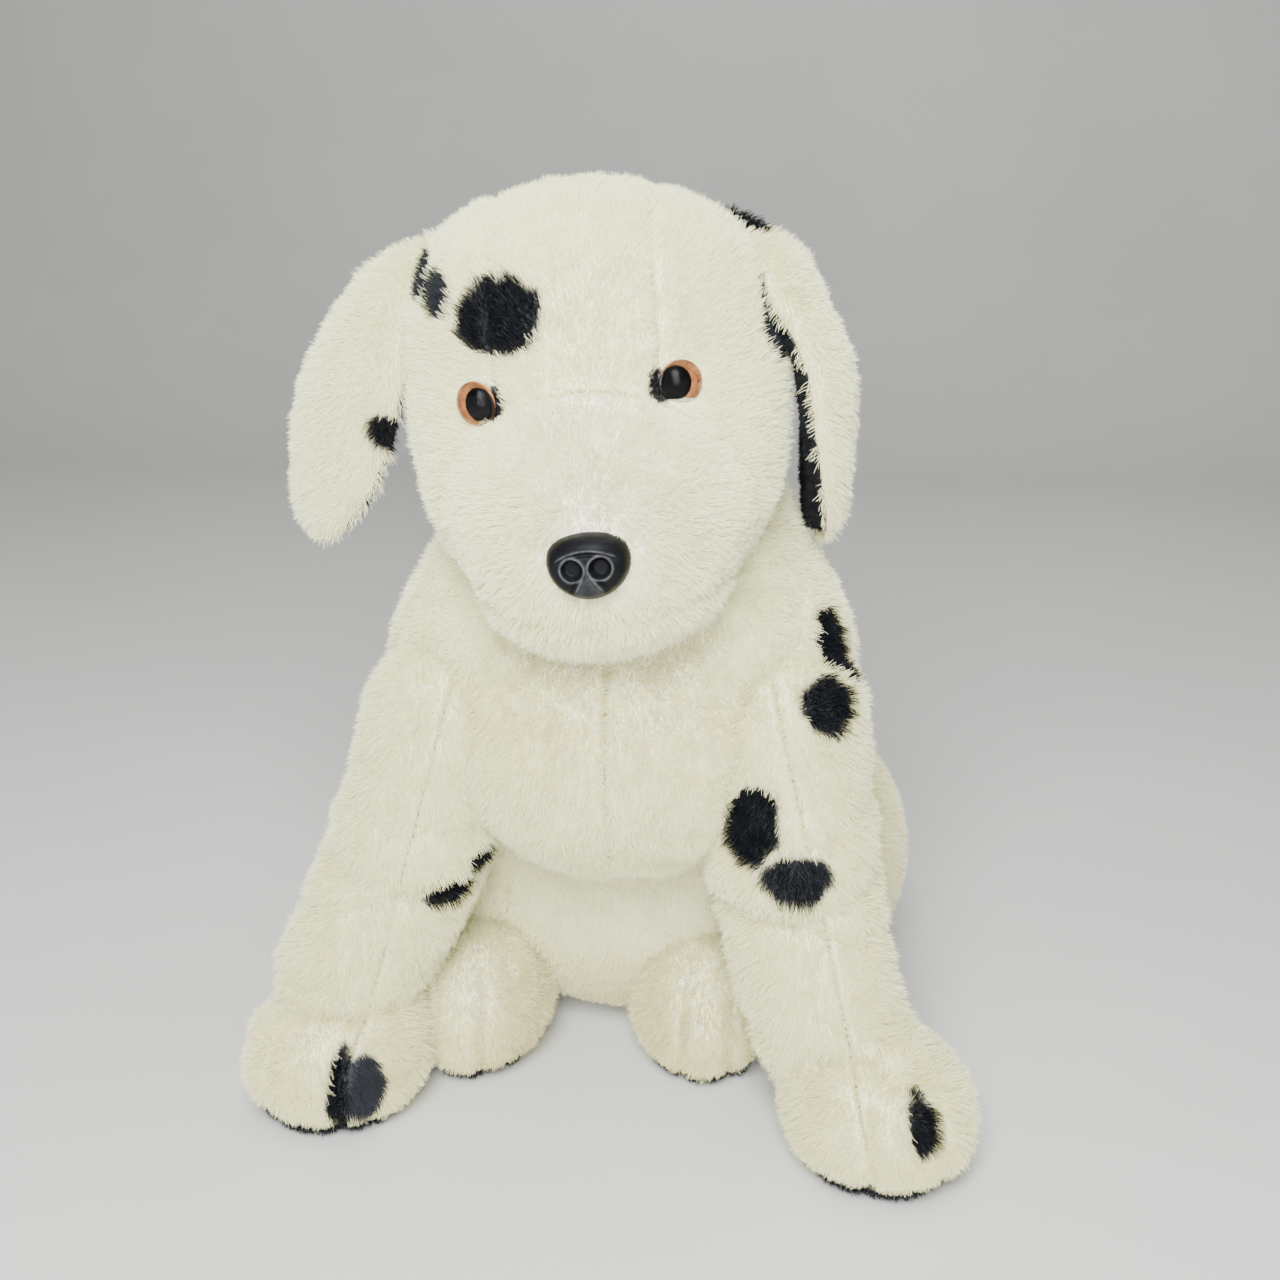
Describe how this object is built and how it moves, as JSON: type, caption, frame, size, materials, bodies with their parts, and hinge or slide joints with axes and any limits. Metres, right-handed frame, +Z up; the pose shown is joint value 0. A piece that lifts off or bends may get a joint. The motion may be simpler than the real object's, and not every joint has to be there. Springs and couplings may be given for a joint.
{
  "type": "plush dog",
  "caption": "Sitting plush puppy in white pile with black spots, hanging ears, planted forelegs and a rolled head; head, ears, legs, hind feet and tail move.",
  "frame": {"origin": "middle of the flat seat, on the surface that the puppy sits on", "axes": "+Z up, -Y the way the puppy faces, +X its own left"},
  "size_m": [0.332, 0.354, 0.4173],
  "materials": {
    "plush_white": "long soft pile",
    "plush_short": "short smooth pile",
    "plush_black": "short pile",
    "stuffing": "polyester fibre",
    "pellet_pouch": "loose pellets in a cloth pouch",
    "eye_amber": "gloss",
    "eye_black": "gloss",
    "eye_clear": "clear gloss",
    "nose_black": "satin moulding",
    "washer": "plain"
  },
  "bodies": {
    "body": {"belly_panel": "plush_short", "body_side_panel_left": "plush_white", "body_side_panel_right": "plush_white", "body_stuffing": "stuffing", "chest_panel_left": "plush_white", "chest_panel_right": "plush_white", "pellet_pouch": "pellet_pouch", "seat_panel": "plush_short", "thigh_panel_left": "plush_white", "thigh_panel_right": "plush_white", "thigh_stuffing_left": "stuffing", "thigh_stuffing_right": "stuffing"},
    "neck": {"neck_panel": "plush_white", "neck_stuffing": "stuffing"},
    "head": {"chin_panel": "plush_white", "crown_gusset": "plush_white", "eye_dome_left": "eye_clear", "eye_dome_right": "eye_clear", "eye_iris_left": "eye_amber", "eye_iris_right": "eye_amber", "eye_pupil_left": "eye_black", "eye_pupil_right": "eye_black", "eye_washer_left": "washer", "eye_washer_right": "washer", "head_side_panel_left": "plush_white", "head_side_panel_right": "plush_white", "head_stuffing": "stuffing", "muzzle_panel": "plush_short", "nose": "nose_black", "nose_washer": "washer"},
    "ear_left": {"ear_lining_left": "plush_black", "ear_outer_left": "plush_white"},
    "ear_right": {"ear_lining_right": "plush_black", "ear_outer_right": "plush_white"},
    "foreleg_left": {"foreleg_inner_panel_left": "plush_white", "foreleg_outer_panel_left": "plush_white", "foreleg_sole_left": "plush_black", "foreleg_stuffing_left": "stuffing"},
    "foreleg_right": {"foreleg_inner_panel_right": "plush_white", "foreleg_outer_panel_right": "plush_white", "foreleg_sole_right": "plush_black", "foreleg_stuffing_right": "stuffing"},
    "hind_foot_left": {"hind_foot_panel_left": "plush_white", "hind_foot_sole_left": "plush_black", "hind_foot_stuffing_left": "stuffing"},
    "hind_foot_right": {"hind_foot_panel_right": "plush_white", "hind_foot_sole_right": "plush_black", "hind_foot_stuffing_right": "stuffing"},
    "tail": {"tail_panel_left": "plush_white", "tail_panel_right": "plush_white", "tail_stuffing": "stuffing"}
  },
  "joints": [
    {"name": "head_turn", "type": "hinge", "parent": "body", "child": "neck", "pos_m": [0, -0.045, 0.245], "axis": [0, 0, 1], "range_deg": [-25, 25]},
    {"name": "head_nod", "type": "hinge", "parent": "neck", "child": "head", "pos_m": [0, -0.045, 0.245], "axis": [-1, 0, 0], "range_deg": [0, 12]},
    {"name": "ear_left_lift", "type": "hinge", "parent": "head", "child": "ear_left", "pos_m": [0.04911, -0.05493, 0.39955], "axis": [-0.4278, -0.8954, -0.1236], "range_deg": [0, 90]},
    {"name": "ear_right_lift", "type": "hinge", "parent": "head", "child": "ear_right", "pos_m": [-0.07792, -0.05476, 0.39072], "axis": [-0.6757, 0.6662, 0.3156], "range_deg": [0, 90]},
    {"name": "foreleg_left_swing", "type": "hinge", "parent": "body", "child": "foreleg_left", "pos_m": [0.075, -0.095, 0.182], "axis": [-1, 0, 0], "range_deg": [0, 45]},
    {"name": "foreleg_right_swing", "type": "hinge", "parent": "body", "child": "foreleg_right", "pos_m": [-0.077, -0.095, 0.182], "axis": [-1, 0, 0], "range_deg": [0, 45]},
    {"name": "hind_foot_left_lift", "type": "hinge", "parent": "body", "child": "hind_foot_left", "pos_m": [0.039, -0.04, 0.01], "axis": [-1, 0, 0], "range_deg": [0, 20]},
    {"name": "hind_foot_right_lift", "type": "hinge", "parent": "body", "child": "hind_foot_right", "pos_m": [-0.061, -0.038, 0.01], "axis": [-1, 0, 0], "range_deg": [0, 20]},
    {"name": "tail_wag", "type": "hinge", "parent": "body", "child": "tail", "pos_m": [0, 0.086, 0.044], "axis": [0, 0, 1], "range_deg": [-30, 30]}
  ]
}
